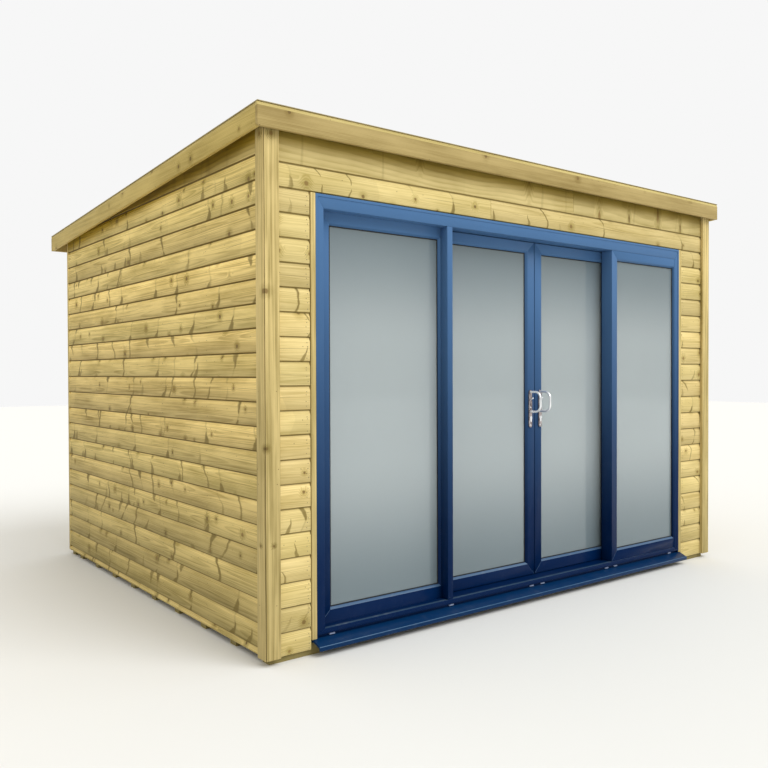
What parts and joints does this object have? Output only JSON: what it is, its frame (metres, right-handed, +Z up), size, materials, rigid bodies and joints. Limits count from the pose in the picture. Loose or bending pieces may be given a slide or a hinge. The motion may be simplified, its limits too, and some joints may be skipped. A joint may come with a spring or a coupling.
{
  "type": "garden office pod",
  "caption": "Timber garden room with shiplap walls, a low pent roof that falls to the back, and a wide patio door set whose two middle panels slide apart.",
  "frame": {"origin": "middle of the outline's footprint on the ground", "axes": "+X to the right as seen from the door side, +Y to the back, +Z up; the doors face -Y"},
  "size_m": [3.672, 3.134, 2.5],
  "materials": {
    "pine_timber": "planed, pressure treated",
    "framing_timber": "sawn, pressure treated",
    "lining_timber": "planed, untreated",
    "roof_rubber": "matt",
    "door_blue": "satin paint",
    "door_glass": "clear float glass",
    "handle_chrome": "polished",
    "drain_cover_plastic": "satin"
  },
  "bodies": {
    "building": {"floor_joists": "framing_timber", "floor_deck": "lining_timber", "left_wall": "lining_timber", "right_wall": "lining_timber", "back_wall": "lining_timber", "front_wall_left": "lining_timber", "front_wall_right": "lining_timber", "front_wall_top": "lining_timber", "left_cladding": "pine_timber", "right_cladding": "pine_timber", "back_cladding": "pine_timber", "front_cladding_left": "pine_timber", "front_cladding_right": "pine_timber", "front_cladding_top": "pine_timber", "front_corner_boards": "pine_timber", "side_corner_boards": "pine_timber", "back_corner_boards": "pine_timber", "door_reveal_boards": "pine_timber", "roof_rafters": "framing_timber", "roof_deck": "pine_timber", "roof_membrane": "roof_rubber", "front_fascia": "pine_timber", "back_fascia": "pine_timber", "side_fascias": "pine_timber", "door_frame_head": "door_blue", "door_frame_sill": "door_blue", "door_frame_jamb_left": "door_blue", "door_frame_jamb_right": "door_blue", "door_mullion": "door_blue", "door_cill": "door_blue", "drain_covers": "drain_cover_plastic", "fixed_panel_left": "door_blue", "fixed_glass_left": "door_glass", "fixed_panel_right": "door_blue", "fixed_glass_right": "door_glass"},
    "left_slider": {"sliding_panel_left": "door_blue", "sliding_glass_left": "door_glass", "pull_handle_left": "handle_chrome", "lock_left": "handle_chrome"},
    "right_slider": {"sliding_panel_right": "door_blue", "sliding_glass_right": "door_glass", "pull_handle_right": "handle_chrome", "lock_right": "handle_chrome"}
  },
  "joints": [
    {"name": "left_panel_slide", "type": "slide", "parent": "building", "child": "left_slider", "axis": [-1, 0, 0], "range_m": [0, 0.64]},
    {"name": "right_panel_slide", "type": "slide", "parent": "building", "child": "right_slider", "axis": [1, 0, 0], "range_m": [0, 0.56]}
  ]
}
